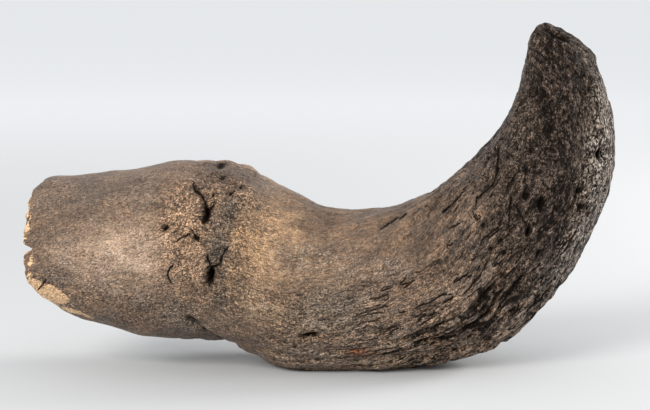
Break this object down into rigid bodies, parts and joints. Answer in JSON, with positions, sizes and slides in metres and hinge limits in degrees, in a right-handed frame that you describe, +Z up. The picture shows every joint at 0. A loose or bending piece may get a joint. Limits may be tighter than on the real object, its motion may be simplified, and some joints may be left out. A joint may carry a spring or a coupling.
{
  "type": "fossil bison horn core",
  "caption": "curved fossil bison horn core with a knobbly burr and a broken hollow bone end, lying on its worn belly with the tip up",
  "frame": {"origin": "middle of the bounding box, on the surface that the horn core rests on", "axes": "+X from the broken bone end to the horn's tip end, +Y away from the viewer of the finished front, +Z up"},
  "size_m": [0.3099, 0.0912, 0.1826],
  "materials": {
    "fossil_bone": "semi-matte mineral-stained brown bone, tan where it is worn, pitted and finely grooved"
  },
  "bodies": {
    "root": {"horn_core": "fossil_bone"}
  },
  "joints": []
}
